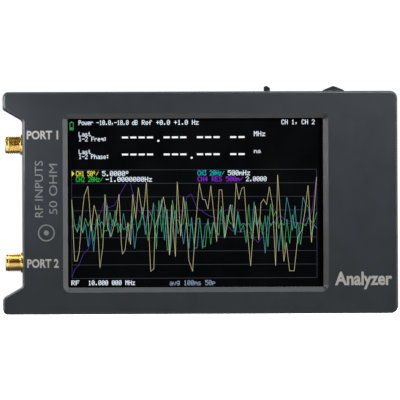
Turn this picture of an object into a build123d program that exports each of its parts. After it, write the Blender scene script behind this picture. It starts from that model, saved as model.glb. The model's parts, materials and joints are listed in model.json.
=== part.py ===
from build123d import *

# Handheld vector network analyzer: a two-shell plastic case with a landscape touch display, two coaxial
# ports between guard horns on the left edge, and a power slide switch and a jog lever on the top edge.
#
# Frame: millimetres, +Z up, +X to the right of the display, the display faces -Y.
# Origin: the middle of the flat bottom edge that the instrument stands on.

import os
from math import cos, radians, tan

# ---------------------------------------------------------------- driving dimensions
# Case
CASE_WIDTH = 135.4
CASE_HEIGHT = 76.4
CASE_DEPTH = 19.0
WALL = 2.0
HORN_LENGTH = 6.7
HORN_TIP_HEIGHT = 5.8
HORN_ANGLE = 30.0
CORNER_RADIUS = 2.5
HORN_TIP_RADIUS = 1.6
HORN_ROOT_RADIUS = 1.5
FACE_EDGE_RADIUS = 0.8
SEAM_CHAMFER = 0.25
LIP_HEIGHT = 1.1
LIP_GAP = 0.06

# Display window and its sloped surround
WINDOW_X = -1.76
WINDOW_WIDTH = 87.8
WINDOW_HEIGHT = 58.0
BEVEL_WIDTH = 1.72
BEVEL_DEPTH = 1.45
BEVEL_RADIUS = 2.4

# Display stack, from the front inwards
GASKET_THICKNESS = 0.4
TOUCH_THICKNESS = 1.1
GLASS_THICKNESS = 1.3
BACKLIGHT_THICKNESS = 1.6
FOAM_THICKNESS = 0.7
ACTIVE_WIDTH = 83.52
LCD_HEIGHT = 60.9
LCD_PLAIN_MARGIN = 2.6
LCD_DRIVER_MARGIN = 9.3

# Main board
BOARD_THICKNESS = 1.6
BOARD_LEFT = -57.5
BOARD_RIGHT = 58.7
BOARD_EDGE_GAP = 2.6

# Coaxial ports: 1/4-36 threaded jacks
PORT_HALF_SPACING = 20.25
PORT_THREAD_RADIUS = 3.15
PORT_THREAD_PITCH = 25.4 / 36
PORT_THREAD_DEPTH = 0.38
PORT_CREST = 0.2
PORT_NECK_RADIUS = 2.95
PORT_COLLAR_RADIUS = 3.5
PORT_COLLAR_WIDTH = 0.7
PORT_RELIEF_WIDTH = 0.3
PORT_RELIEF_RADIUS = 2.75
PORT_LEAD_RADIUS = 2.9
PORT_LEAD_LENGTH = 1.05
PORT_MOUTH_RADIUS = 2.3
PORT_MOUTH_DEPTH = 1.9
PORT_LENGTH = 5.9
PORT_CLEARANCE = 0.2
PORT_FLANGE = 6.4
INSULATOR_RADIUS = 2.05
CONTACT_RADIUS = 0.63
CONTACT_BORE_RADIUS = 0.47
TAIL_RADIUS = 0.4

# Fasteners
CASE_SCREW_INSET = 5.0
CASE_SCREW_RADIUS = 1.25
CASE_SCREW_HEAD_RADIUS = 2.25
CASE_SCREW_HEAD_HEIGHT = 1.7
CASE_BOSS_RADIUS = 3.2
COUNTERBORE_RADIUS = 2.5
COUNTERBORE_DEPTH = 3.4
BOARD_SCREW_RADIUS = 0.85
BOARD_SCREW_HEAD_RADIUS = 1.75
BOARD_BOSS_RADIUS = 2.3
SCREW_GAP = 0.03

# Top edge controls and sockets
POWER_X = 23.25
POWER_TRAVEL = 2.0
JOG_X = 46.15
JOG_TILT = 10.0
JOG_PRESS = 0.5
USB_X = 0.0
CARD_X = -18.0

# Battery
BATTERY_WIDTH = 60.0
BATTERY_HEIGHT = 42.0
BATTERY_THICKNESS = 6.0
BATTERY_X = 27.0
BATTERY_Z = 36.0

# ---------------------------------------------------------------- places that follow from them
FRONT_Y = -CASE_DEPTH / 2
BACK_Y = CASE_DEPTH / 2
INNER_FRONT_Y = FRONT_Y + WALL
INNER_BACK_Y = BACK_Y - WALL
RIGHT_X = CASE_WIDTH / 2
HORN_X = -CASE_WIDTH / 2
LEFT_X = HORN_X + HORN_LENGTH
MIDDLE_Z = CASE_HEIGHT / 2
TOP_Z = CASE_HEIGHT
INNER_TOP_Z = TOP_Z - WALL
HORN_ROOT_HEIGHT = HORN_TIP_HEIGHT + HORN_LENGTH * tan(radians(HORN_ANGLE))

TOUCH_Y = INNER_FRONT_Y + GASKET_THICKNESS
GLASS_Y = TOUCH_Y + TOUCH_THICKNESS
BACKLIGHT_Y = GLASS_Y + GLASS_THICKNESS
FOAM_Y = BACKLIGHT_Y + BACKLIGHT_THICKNESS
BOARD_FRONT_Y = FOAM_Y + FOAM_THICKNESS
BOARD_BACK_Y = BOARD_FRONT_Y + BOARD_THICKNESS
LCD_LEFT = WINDOW_X - ACTIVE_WIDTH / 2 - LCD_PLAIN_MARGIN
LCD_RIGHT = WINDOW_X + ACTIVE_WIDTH / 2 + LCD_DRIVER_MARGIN
LCD_BOTTOM = MIDDLE_Z - LCD_HEIGHT / 2
LCD_TOP = MIDDLE_Z + LCD_HEIGHT / 2

BOARD_BOTTOM = BOARD_EDGE_GAP
BOARD_TOP = CASE_HEIGHT - BOARD_EDGE_GAP
PORT_Y = BOARD_BACK_Y + TAIL_RADIUS
SEAM_Y = PORT_Y
PORT_HEIGHTS = {"a": MIDDLE_Z + PORT_HALF_SPACING, "b": MIDDLE_Z - PORT_HALF_SPACING}
PORT_TIP_X = LEFT_X - PORT_LENGTH

CASE_SCREW_PLACES = [
    (x, z)
    for x in (LEFT_X, RIGHT_X - CASE_SCREW_INSET)
    for z in (CASE_SCREW_INSET, CASE_HEIGHT - CASE_SCREW_INSET)
]
CASE_SCREW_SEAT_Y = BACK_Y - COUNTERBORE_DEPTH
BOARD_SCREW_PLACES = [(x, z) for x in (-53.0, 54.0) for z in (7.6, CASE_HEIGHT - 7.6)]


# ---------------------------------------------------------------- shape helpers
def block(x0, x1, y0, y1, z0, z1):
    """A box between two corners."""
    return Pos((x0 + x1) / 2, (y0 + y1) / 2, (z0 + z1) / 2) * Box(x1 - x0, y1 - y0, z1 - z0)


def slab(sketch, y0, y1):
    """A sketch drawn in X and Z, made solid from y0 to y1."""
    return Pos(0, y1, 0) * Rot(90, 0, 0) * extrude(sketch, y1 - y0)


def column(sketch, z0, z1):
    """A sketch drawn in X and Y, made solid from z0 to z1."""
    return Pos(0, 0, z0) * extrude(sketch, z1 - z0)


def round_y(radius, x, z, y0, y1):
    """A cylinder along Y."""
    return Pos(x, (y0 + y1) / 2, z) * Rot(90, 0, 0) * Cylinder(radius, y1 - y0)


def round_x(radius, y, z, x0, x1):
    """A cylinder along X."""
    return Pos((x0 + x1) / 2, y, z) * Rot(0, 90, 0) * Cylinder(radius, x1 - x0)


def cone_y(r0, r1, x, z, y0, y1):
    """A cone along Y with radius r0 at y0 and r1 at y1."""
    return Pos(x, (y0 + y1) / 2, z) * Rot(-90, 0, 0) * Cone(r0, r1, y1 - y0)


def rounded_rectangle(width, height, radius, x, z):
    return Pos(x, z) * RectangleRounded(width, height, radius)


def together(pieces):
    """Separate solids as one compound."""
    return Compound(children=[solid for piece in pieces for solid in piece.solids()])


# ---------------------------------------------------------------- case
def case_outline(inset=0.0):
    """The case seen from the front, moved inwards by inset, with the two guard horns on its left."""
    slope = radians(HORN_ANGLE)
    shift = inset * (1 / cos(slope) - tan(slope))
    root = HORN_ROOT_HEIGHT - inset / cos(slope) + inset * tan(slope)
    tip = HORN_TIP_HEIGHT - shift
    left, horn, right = LEFT_X + inset, HORN_X + inset, RIGHT_X - inset
    low, high = inset, CASE_HEIGHT - inset
    corners = [
        ((right, low), CORNER_RADIUS - inset),
        ((right, high), CORNER_RADIUS - inset),
        ((horn, high), HORN_TIP_RADIUS - inset),
        ((horn, CASE_HEIGHT - tip), HORN_TIP_RADIUS - inset),
        ((left, CASE_HEIGHT - root), HORN_ROOT_RADIUS + inset),
        ((left, root), HORN_ROOT_RADIUS + inset),
        ((horn, tip), HORN_TIP_RADIUS - inset),
        ((horn, low), HORN_TIP_RADIUS - inset),
    ]
    smallest = 0.2
    points = [point for point, _ in corners]
    radii = [max(radius, smallest) for _, radius in corners]
    return make_face(FilletPolyline(*points, radius=radii, close=True))


def outer_loop(solid, y):
    """The edges of a case shell's outline at y, without the edges of the holes inside it."""
    face = solid.faces().filter_by(Axis.Y).sort_by(lambda f: abs(f.center().Y - y))[0]
    return face.outer_wire().edges()


def port_cut():
    """The round holes in the left wall that the two port barrels pass through."""
    radius = PORT_NECK_RADIUS + PORT_CLEARANCE
    reach = 2 * WALL
    return [round_x(radius, PORT_Y, z, LEFT_X - reach, LEFT_X + reach) for z in PORT_HEIGHTS.values()]


def top_slot(x, width, y0, y1, radius):
    """A slot through the top wall."""
    sketch = Pos(x, (y0 + y1) / 2) * RectangleRounded(width, y1 - y0, radius)
    return column(sketch, INNER_TOP_Z - LIP_HEIGHT, TOP_Z + 1)


def top_cuts():
    """The four slots in the top wall, cut from both shells."""
    scoop = Pos(CARD_X, CARD_MOUTH_Y, TOP_Z + CARD_SCOOP_RADIUS - CARD_SCOOP_DEPTH)
    return [
        top_slot(USB_X, USB_WIDTH + 0.8, USB_Y0 - 0.35, USB_Y1 + 0.35, (USB_Y1 - USB_Y0) / 2),
        top_slot(CARD_X, CARD_SLOT_WIDTH, CARD_SLOT_Y0, CARD_SLOT_Y1, 0.3),
        scoop * Rot(90, 0, 0) * Cylinder(CARD_SCOOP_RADIUS, CARD_SCOOP_LENGTH),
        top_slot(POWER_SLOT_X, POWER_SLOT_WIDTH, SEAM_Y, 2 * POWER_Y - SEAM_Y, 0.4),
        top_slot(JOG_X, 2 * JOG_SLOT_HALF, JOG_Y - 1.6, JOG_Y + 1.6, 0.8),
    ]


def lip_ring(outer_inset, inner_inset, y0, y1):
    """A ring that follows the case wall."""
    return slab(case_outline(outer_inset), y0, y1) - slab(case_outline(inner_inset), y0, y1)


def window_cut():
    """The display opening: a sloped surround, then a straight edge down to the inside of the front wall."""
    step_y = FRONT_Y + BEVEL_DEPTH
    wide = slab_face(WINDOW_WIDTH + 2 * BEVEL_WIDTH, WINDOW_HEIGHT + 2 * BEVEL_WIDTH, BEVEL_RADIUS, FRONT_Y)
    narrow = slab_face(WINDOW_WIDTH, WINDOW_HEIGHT, BEVEL_RADIUS - BEVEL_WIDTH, step_y)
    slope = loft([wide, narrow], ruled=True)
    opening = rounded_rectangle(WINDOW_WIDTH, WINDOW_HEIGHT, BEVEL_RADIUS - BEVEL_WIDTH, WINDOW_X, MIDDLE_Z)
    return slope + slab(opening, step_y - 0.01, INNER_FRONT_Y + 1)


def slab_face(width, height, radius, y):
    """A rounded rectangle standing at y, centred on the display window."""
    return Pos(WINDOW_X, y, MIDDLE_Z) * Rot(90, 0, 0) * RectangleRounded(width, height, radius)


def display_ribs():
    """A low wall inside the front shell that locates the display, open on the right for its flex tails."""
    gap, thickness, height = 0.3, 1.0, 3.2
    width, tall = LCD_RIGHT - LCD_LEFT + 2 * gap, LCD_HEIGHT + 2 * gap
    x, z = (LCD_LEFT + LCD_RIGHT) / 2, MIDDLE_Z
    outside = Pos(x, z) * Rectangle(width + 2 * thickness, tall + 2 * thickness)
    inside = Pos(x, z) * Rectangle(width, tall)
    ring = slab(outside - inside, INNER_FRONT_Y, INNER_FRONT_Y + height)
    y0, y1 = INNER_FRONT_Y, INNER_FRONT_Y + height
    return ring - block(LCD_RIGHT, LCD_RIGHT + 3, y0, y1, MIDDLE_Z - 16, MIDDLE_Z + 27)


def front_cover():
    shell = slab(case_outline(), FRONT_Y, SEAM_Y)
    shell = fillet(outer_loop(shell, FRONT_Y), FACE_EDGE_RADIUS)
    shell = chamfer(outer_loop(shell, SEAM_Y), SEAM_CHAMFER)
    shell -= slab(case_outline(WALL), INNER_FRONT_Y, SEAM_Y + 1)
    for x, z in CASE_SCREW_PLACES:
        shell += round_y(CASE_BOSS_RADIUS, x, z, INNER_FRONT_Y - 0.5, SEAM_Y - 0.05)
    for x, z in BOARD_SCREW_PLACES:
        shell += round_y(BOARD_BOSS_RADIUS, x, z, INNER_FRONT_Y - 0.5, BOARD_FRONT_Y)
    shell += display_ribs()
    for x, z in CASE_SCREW_PLACES:
        shell -= round_y(CASE_SCREW_RADIUS, x, z, INNER_FRONT_Y + 1, SEAM_Y + 1)
    for x, z in BOARD_SCREW_PLACES:
        shell -= round_y(BOARD_SCREW_RADIUS, x, z, INNER_FRONT_Y + 1, BOARD_FRONT_Y + 1)
    shell -= window_cut()
    shell -= lip_ring(WALL / 2, WALL + 0.1, SEAM_Y - LIP_HEIGHT - 0.15, SEAM_Y + 1)
    for cut in port_cut() + top_cuts():
        shell -= cut
    return shell


def battery_ribs():
    """A low frame on the rear shell's inside that keeps the battery in place."""
    depth, thickness = 2.6, 1.0
    gap = 0.5
    left, right = BATTERY_X - BATTERY_WIDTH / 2 - gap, BATTERY_X + BATTERY_WIDTH / 2 + gap
    low, high = BATTERY_Z - BATTERY_HEIGHT / 2 - gap, BATTERY_Z + BATTERY_HEIGHT / 2 + gap
    y0, grow = INNER_BACK_Y - depth, thickness
    frame = block(left - grow, right + grow, y0, INNER_BACK_Y, low - grow, high + grow)
    return frame - block(left, right, y0, INNER_BACK_Y, low, high)


def rear_cover():
    shell = slab(case_outline(), SEAM_Y, BACK_Y)
    shell = fillet(outer_loop(shell, BACK_Y), FACE_EDGE_RADIUS)
    shell = chamfer(outer_loop(shell, SEAM_Y), SEAM_CHAMFER)
    shell -= slab(case_outline(WALL), SEAM_Y - 1, INNER_BACK_Y)
    shell += lip_ring(WALL / 2 + LIP_GAP, WALL, SEAM_Y - LIP_HEIGHT, SEAM_Y + 0.5)
    for x, z in CASE_SCREW_PLACES:
        shell += round_y(CASE_BOSS_RADIUS, x, z, SEAM_Y + 0.05, INNER_BACK_Y + 0.5)
    shell += battery_ribs()
    for x, z in CASE_SCREW_PLACES:
        shell -= round_y(CASE_SCREW_RADIUS + 0.2, x, z, SEAM_Y - 1, BACK_Y + 1)
        shell -= round_y(COUNTERBORE_RADIUS, x, z, CASE_SCREW_SEAT_Y, BACK_Y + 1)
    for cut in port_cut() + top_cuts():
        shell -= cut
    return shell


# ---------------------------------------------------------------- fasteners
def pan_screw(x, z, seat_y, length, radius, head_radius, head_height):
    """A pan-head screw with a cross recess, pointing to -Y, with its head on seat_y."""
    head = round_y(head_radius, x, z, seat_y, seat_y + head_height)
    head = fillet(head.edges().sort_by(Axis.Y)[-1], head_height * 0.45)
    shank = round_y(radius, x, z, seat_y - length + radius, seat_y)
    point = cone_y(radius * 0.4, radius, x, z, seat_y - length, seat_y - length + radius)
    screw = head + shank + point
    arm, slot, depth = head_radius * 0.62, head_radius * 0.2, head_height * 0.6
    top = seat_y + head_height
    for half_x, half_z in ((arm, slot), (slot, arm)):
        screw -= block(x - half_x, x + half_x, top - depth, top + 1, z - half_z, z + half_z)
    return screw


def case_screws():
    length = CASE_SCREW_SEAT_Y - INNER_FRONT_Y - 2
    radius = CASE_SCREW_RADIUS - SCREW_GAP
    return together(
        pan_screw(x, z, CASE_SCREW_SEAT_Y, length, radius, CASE_SCREW_HEAD_RADIUS, CASE_SCREW_HEAD_HEIGHT)
        for x, z in CASE_SCREW_PLACES
    )


def board_screws():
    radius = BOARD_SCREW_RADIUS - SCREW_GAP
    return together(
        pan_screw(x, z, BOARD_BACK_Y, 5.0, radius, BOARD_SCREW_HEAD_RADIUS, 1.2)
        for x, z in BOARD_SCREW_PLACES
    )


# ---------------------------------------------------------------- display
def window_gasket():
    """A foam ring between the front wall and the touch panel."""
    margin = 0.6
    width, height = WINDOW_WIDTH + 2 * margin, WINDOW_HEIGHT + 2 * margin
    outside = rounded_rectangle(width, height, 0.8, WINDOW_X, MIDDLE_Z)
    inside = rounded_rectangle(WINDOW_WIDTH + 0.2, WINDOW_HEIGHT + 0.2, 0.5, WINDOW_X, MIDDLE_Z)
    return slab(outside - inside, INNER_FRONT_Y, TOUCH_Y)


def display_layer(y0, y1, inset=0.0):
    sketch = Pos((LCD_LEFT + LCD_RIGHT) / 2, MIDDLE_Z)
    sketch = sketch * Rectangle(LCD_RIGHT - LCD_LEFT - 2 * inset, LCD_HEIGHT - 2 * inset)
    return slab(sketch, y0, y1)


def touch_panel():
    panel = display_layer(TOUCH_Y, GLASS_Y)
    return chamfer(panel.edges().group_by(Axis.Y)[0], 0.1)


def lcd_glass():
    """The cell: a rear glass, and a front glass that leaves a ledge for the driver chip and the flex tail."""
    ledge, joint_y = 3.5, GLASS_Y + GLASS_THICKNESS / 2
    rear = display_layer(joint_y, BACKLIGHT_Y, 0.3)
    front = display_layer(GLASS_Y, joint_y, 0.3)
    return rear + (front - block(LCD_RIGHT - ledge, LCD_RIGHT, GLASS_Y - 1, joint_y, 0, TOP_Z))


def lcd_driver_chip():
    middle = LCD_RIGHT - 2.6
    y0, y1 = GLASS_Y + 0.2, GLASS_Y + GLASS_THICKNESS / 2
    return block(middle - 0.5, middle + 0.5, y0, y1, MIDDLE_Z - 11, MIDDLE_Z + 11)


def backlight_guide():
    """The clear plate that spreads the light behind the cell."""
    return display_layer(BACKLIGHT_Y, BACKLIGHT_Y + 1.0, 1.0)


def backlight_tray():
    """The steel tray that holds the light guide."""
    tray = display_layer(BACKLIGHT_Y, FOAM_Y)
    return tray - display_layer(BACKLIGHT_Y, FOAM_Y - 0.3, 0.3)


def backlight_sheet():
    """The white reflector behind the light guide."""
    return display_layer(BACKLIGHT_Y + 1.0, FOAM_Y - 0.3, 1.0)


def display_foam():
    """Four strips of foam tape that hold the display off the board."""
    y0, y1 = FOAM_Y, BOARD_FRONT_Y
    left, right, low, high = LCD_LEFT + 2, LCD_RIGHT - 2, LCD_BOTTOM + 2, LCD_TOP - 2
    width = 4.0
    return together(
        [
            block(left, left + width, y0, y1, low, high),
            block(right - width, right, y0, y1, low, high),
            block(left + width + 4, right - width - 4, y0, y1, low, low + width),
            block(left + width + 4, right - width - 4, y0, y1, high - width, high),
        ]
    )


def flex_tail(x0, y0, x1, y1, z, width, reach):
    """A flat flex tail from (x0, y0) on the display to (x1, y1) in its socket, bent after reach."""
    thickness = 0.14
    path = FilletPolyline((x0, y0), (x0 + reach, y0), (x1 - 1.6, y1), (x1, y1), radius=[0.7, 0.7])
    section = Plane(origin=(x0, y0, 0), x_dir=(0, 1, 0), z_dir=(1, 0, 0)) * Rectangle(thickness, width)
    return Pos(0, 0, z) * sweep(section, path)


FLEX_SOCKET_X0, FLEX_SOCKET_X1 = 53.0, 57.4
FLEX_SOCKET_HEIGHT = 1.2
LCD_FLEX_Z, LCD_FLEX_WIDTH = MIDDLE_Z, 21.0
TOUCH_FLEX_Z, TOUCH_FLEX_WIDTH = MIDDLE_Z + 21.0, 5.0


def lcd_flex():
    """Bonded on the rear glass's ledge, in front of it."""
    y0 = GLASS_Y + GLASS_THICKNESS / 2 - 0.07
    x1, y1 = FLEX_SOCKET_X0 + 1.5, BOARD_FRONT_Y - FLEX_SOCKET_HEIGHT / 2
    return flex_tail(LCD_RIGHT - 1.8, y0, x1, y1, LCD_FLEX_Z, LCD_FLEX_WIDTH, 2.1)


def touch_flex():
    """Bonded to the edge of the touch panel."""
    y0 = (TOUCH_Y + GLASS_Y) / 2
    x1, y1 = FLEX_SOCKET_X0 + 1.5, BOARD_FRONT_Y - FLEX_SOCKET_HEIGHT / 2
    return flex_tail(LCD_RIGHT, y0, x1, y1, TOUCH_FLEX_Z, TOUCH_FLEX_WIDTH, 0.9)


def flex_socket(z, width):
    """A flat-cable socket on the front of the board, with a mouth that faces the display."""
    half, y0 = width / 2 + 1.2, BOARD_FRONT_Y - FLEX_SOCKET_HEIGHT
    body = block(FLEX_SOCKET_X0, FLEX_SOCKET_X1, y0, BOARD_FRONT_Y, z - half, z + half)
    mouth_y, mouth = (y0 + BOARD_FRONT_Y) / 2, width / 2 + 0.1
    x0, x1 = FLEX_SOCKET_X0 - 1, FLEX_SOCKET_X0 + 1.8
    return body - block(x0, x1, mouth_y - 0.15, mouth_y + 0.15, z - mouth, z + mouth)


# ---------------------------------------------------------------- board and chips
def main_board():
    width, tall = BOARD_RIGHT - BOARD_LEFT, BOARD_TOP - BOARD_BOTTOM
    x, z = (BOARD_LEFT + BOARD_RIGHT) / 2, (BOARD_BOTTOM + BOARD_TOP) / 2
    outline = rounded_rectangle(width, tall, 1.0, x, z)
    board = slab(outline, BOARD_FRONT_Y, BOARD_BACK_Y)
    for x, z in BOARD_SCREW_PLACES:
        board -= round_y(BOARD_SCREW_RADIUS + 0.25, x, z, BOARD_FRONT_Y - 1, BOARD_BACK_Y + 1)
    return board


def on_back(x, z, width, tall, height, lift=0.0):
    """A block soldered to the back of the board, centred on x and z."""
    y0 = BOARD_BACK_Y + lift
    return block(x - width / 2, x + width / 2, y0, y0 + height, z - tall / 2, z + tall / 2)


def chip(x, z, side, height, leads_per_side, lead=0.22):
    """A square package with gull-wing leads reduced to short flat feet on all four sides."""
    body = chamfer(on_back(x, z, side, side, height, 0.1).edges().group_by(Axis.Y)[-1], 0.15)
    pitch = side / (leads_per_side + 1)
    feet = []
    for i in range(leads_per_side):
        at = (i - (leads_per_side - 1) / 2) * pitch
        for sign in (-1, 1):
            feet.append(on_back(x + at, z + sign * (side / 2 + 0.4), lead, 1.0, 0.25))
            feet.append(on_back(x + sign * (side / 2 + 0.4), z + at, 1.0, lead, 0.25))
    for foot in feet:
        body += foot
    return body


MCU_X, MCU_Z = -14.0, 36.0
CODEC_X, CODEC_Z = -14.0, 51.0
SYNTH_X, SYNTH_Z = -22.0, 26.0
CHARGER_X, CHARGER_Z = -6.5, 62.0


def mixer_chips():
    """Three mixers: one in each port's shielded section, and the reference mixer between them."""
    places = [(-40.0, PORT_HEIGHTS["a"]), (-40.0, PORT_HEIGHTS["b"]), (-40.0, MIDDLE_Z)]
    return together(chip(x, z, 3.0, 0.9, 3) for x, z in places)


def crystals():
    """The reference oscillator and the processor's crystal."""
    return together([on_back(-22.0, 19.0, 3.2, 2.5, 1.0), on_back(-22.5, 38.0, 3.2, 2.5, 0.8)])


def passives():
    """Rows of small resistors and capacitors in the open areas of the board."""
    pieces = []
    for row, z in enumerate((30.0, 32.2, 43.5, 45.7)):
        for i in range(6):
            pieces.append(on_back(-50.0 + 2.6 * i + 0.4 * (row % 2), z, 1.6, 0.8, 0.5))
    for row, x in enumerate((-24.5, -4.6)):
        for i in range(5):
            pieces.append(on_back(x, 44.0 + 2.4 * i, 1.0 + 0.6 * (row % 2), 1.0, 0.7))
    return together(pieces)


def power_inductor():
    return round_y(2.0, -6.5, 11.0, BOARD_BACK_Y, BOARD_BACK_Y + 2.2)


def status_leds():
    """The charge and activity indicators beside the charging socket."""
    return together([on_back(x, BOARD_TOP - 1.2, 1.6, 0.8, 0.7) for x in (USB_X + 8.0, USB_X + 11.0)])


SHIELD_X = -39.0
SHIELD_SIZE = 22.0
SHIELD_HEIGHT = 2.4
SHIELD_SHEET = 0.25


def shield_frames():
    """The soldered fences round the two ports' receivers."""
    frames = []
    for z in PORT_HEIGHTS.values():
        outside = on_back(SHIELD_X, z, SHIELD_SIZE, SHIELD_SIZE, SHIELD_HEIGHT)
        inner = SHIELD_SIZE - 2 * SHIELD_SHEET
        frames.append(outside - on_back(SHIELD_X, z, inner, inner, SHIELD_HEIGHT))
    return together(frames)


def shield_lids():
    """The clip-on lids of the two shield frames, each with a grid of vent holes."""
    lids = []
    grip, gap = 1.2, 0.03
    for z in PORT_HEIGHTS.values():
        outer, inner = SHIELD_SIZE + 2 * (SHIELD_SHEET + gap), SHIELD_SIZE + 2 * gap
        skirt = on_back(SHIELD_X, z, outer, outer, grip + SHIELD_SHEET, SHIELD_HEIGHT - grip)
        lid = skirt - on_back(SHIELD_X, z, inner, inner, grip, SHIELD_HEIGHT - grip)
        y0 = BOARD_BACK_Y + SHIELD_HEIGHT
        for i in range(4):
            for j in range(4):
                x_at, z_at = SHIELD_X + 4.4 * (i - 1.5), z + 4.4 * (j - 1.5)
                lid -= round_y(0.8, x_at, z_at, y0 - 0.5, y0 + 1)
        lids.append(lid)
    return together(lids)


# ---------------------------------------------------------------- battery
BATTERY_TAPE = 0.5
BATTERY_Y0 = BOARD_BACK_Y + BATTERY_TAPE
BATTERY_LEFT = BATTERY_X - BATTERY_WIDTH / 2
GUARD_DEPTH = 3.6
LEAD_RADIUS = 0.6
LEAD_Y = BATTERY_Y0 + 2.0
LEADS = {"red": (BATTERY_Z + 9.0, -1.0), "black": (BATTERY_Z + 7.0, 1.0)}
PLUG_X, PLUG_Z = -12.0, 26.0
PLUG_HALF_WIDTH, PLUG_HALF_DEPTH, PLUG_HALF_HEIGHT = 2.6, 1.6, 2.1


def battery_cell():
    """A lithium pouch cell, with its protection board folded along its left side."""
    left, right, half = BATTERY_LEFT + GUARD_DEPTH, BATTERY_X + BATTERY_WIDTH / 2, BATTERY_HEIGHT / 2
    y1 = BATTERY_Y0 + BATTERY_THICKNESS
    cell = block(left, right, BATTERY_Y0, y1, BATTERY_Z - half, BATTERY_Z + half)
    return fillet(cell.edges().filter_by(Axis.Y, reverse=True), 1.2)


def battery_guard():
    """The protection board in its yellow tape."""
    right = BATTERY_LEFT + GUARD_DEPTH
    guard = block(BATTERY_LEFT, right, BATTERY_Y0 + 0.6, BATTERY_Y0 + 4.0, BATTERY_Z - 18, BATTERY_Z + 18)
    return fillet(guard.edges().filter_by(Axis.Z), 0.6)


def battery_tape():
    """Two strips of double-sided foam that hold the cell on the board."""
    half, y0, y1 = 4.0, BOARD_BACK_Y, BATTERY_Y0
    z0, z1 = BATTERY_Z - BATTERY_HEIGHT / 2 + 3, BATTERY_Z + BATTERY_HEIGHT / 2 - 3
    return together(block(x - half, x + half, y0, y1, z0, z1) for x in (BATTERY_X - 18, BATTERY_X + 20))


def battery_pad():
    """The foam sheet that keeps the cell pressed against the board."""
    width, tall = BATTERY_WIDTH - 2 * GUARD_DEPTH - 4, BATTERY_HEIGHT - 10
    y0 = BATTERY_Y0 + BATTERY_THICKNESS
    return slab(rounded_rectangle(width, tall, 1.5, BATTERY_X + GUARD_DEPTH / 2, BATTERY_Z), y0, INNER_BACK_Y)


def battery_lead(colour):
    """One lead, from the protection board's edge round one bend and down into the plug."""
    start_z, offset = LEADS[colour]
    end_x, end_z = PLUG_X + offset, PLUG_Z + PLUG_HALF_HEIGHT
    points = [(BATTERY_LEFT, LEAD_Y, start_z), (end_x, LEAD_Y, start_z), (end_x, LEAD_Y, end_z)]
    path = FilletPolyline(*points, radius=2.5)
    return sweep(Plane(origin=points[0], z_dir=(-1, 0, 0)) * Circle(LEAD_RADIUS), path)


def battery_plug():
    """The two-pole plug on the leads' end."""
    wide, deep, tall = PLUG_HALF_WIDTH, PLUG_HALF_DEPTH, PLUG_HALF_HEIGHT
    body = block(PLUG_X - wide, PLUG_X + wide, LEAD_Y - deep, LEAD_Y + deep, PLUG_Z - tall, PLUG_Z + tall)
    return chamfer(body.edges().filter_by(Axis.Z), 0.3)


def battery_socket():
    """The socket on the board, open towards the top of the case."""
    gap, wall = 0.06, 0.9
    wide, deep = PLUG_HALF_WIDTH + gap, PLUG_HALF_DEPTH + gap
    floor, mouth = PLUG_Z - PLUG_HALF_HEIGHT, PLUG_Z + PLUG_HALF_HEIGHT - 1.0
    x0, x1 = PLUG_X - wide - wall, PLUG_X + wide + wall
    body = block(x0, x1, BOARD_BACK_Y, LEAD_Y + deep + wall, floor - 2.6, mouth)
    pocket = block(PLUG_X - wide, PLUG_X + wide, LEAD_Y - deep, LEAD_Y + deep, floor, mouth + 1)
    for offset in (-1.0, 1.0):
        x = PLUG_X + offset
        body += block(x - 0.3, x + 0.3, BOARD_BACK_Y, BOARD_BACK_Y + 0.25, floor - 4.0, floor - 2.6)
    return body - pocket


# ---------------------------------------------------------------- coaxial ports
def revolved(points, z):
    """A profile of (x, radius) points turned about a port's axis."""
    face = make_face(Polyline(*[(x, PORT_Y + radius, z) for x, radius in points], close=True))
    return revolve(face, Axis((0, PORT_Y, z), (1, 0, 0)))


def port_profile():
    """The jack's outside: neck through the case wall, collar, thread relief, thread and plain lead-in."""
    neck_x = LEFT_X + WALL + 0.1
    collar_x = LEFT_X - 0.1
    relief_x = collar_x - PORT_COLLAR_WIDTH
    thread_x = relief_x - PORT_RELIEF_WIDTH
    lead_x = PORT_TIP_X + PORT_LEAD_LENGTH
    root, crest = PORT_THREAD_RADIUS - PORT_THREAD_DEPTH, PORT_THREAD_RADIUS
    profile = [
        (neck_x, 0.0),
        (neck_x, PORT_NECK_RADIUS),
        (collar_x, PORT_NECK_RADIUS),
        (collar_x, PORT_COLLAR_RADIUS),
        (relief_x + 0.15, PORT_COLLAR_RADIUS),
        (relief_x, PORT_COLLAR_RADIUS - 0.15),
        (relief_x, PORT_RELIEF_RADIUS),
        (thread_x + 0.15, PORT_RELIEF_RADIUS),
        (thread_x, crest),
    ]
    turns = int((thread_x - lead_x) / PORT_THREAD_PITCH)
    half_root, half_groove = 0.06, (PORT_THREAD_PITCH - PORT_CREST) / 2
    for i in range(turns):
        middle = thread_x - PORT_CREST - half_groove - i * PORT_THREAD_PITCH
        profile.append((middle + half_groove, crest))
        profile.append((middle + half_root, root))
        profile.append((middle - half_root, root))
        profile.append((middle - half_groove, crest))
    end = profile[-1][0] - PORT_CREST
    profile += [(end, crest), (end - 0.2, PORT_LEAD_RADIUS)]
    break_edge = 0.2
    tip = [(PORT_TIP_X + break_edge, PORT_LEAD_RADIUS), (PORT_TIP_X, PORT_LEAD_RADIUS - break_edge)]
    return profile + tip + [(PORT_TIP_X, 0.0)]


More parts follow.
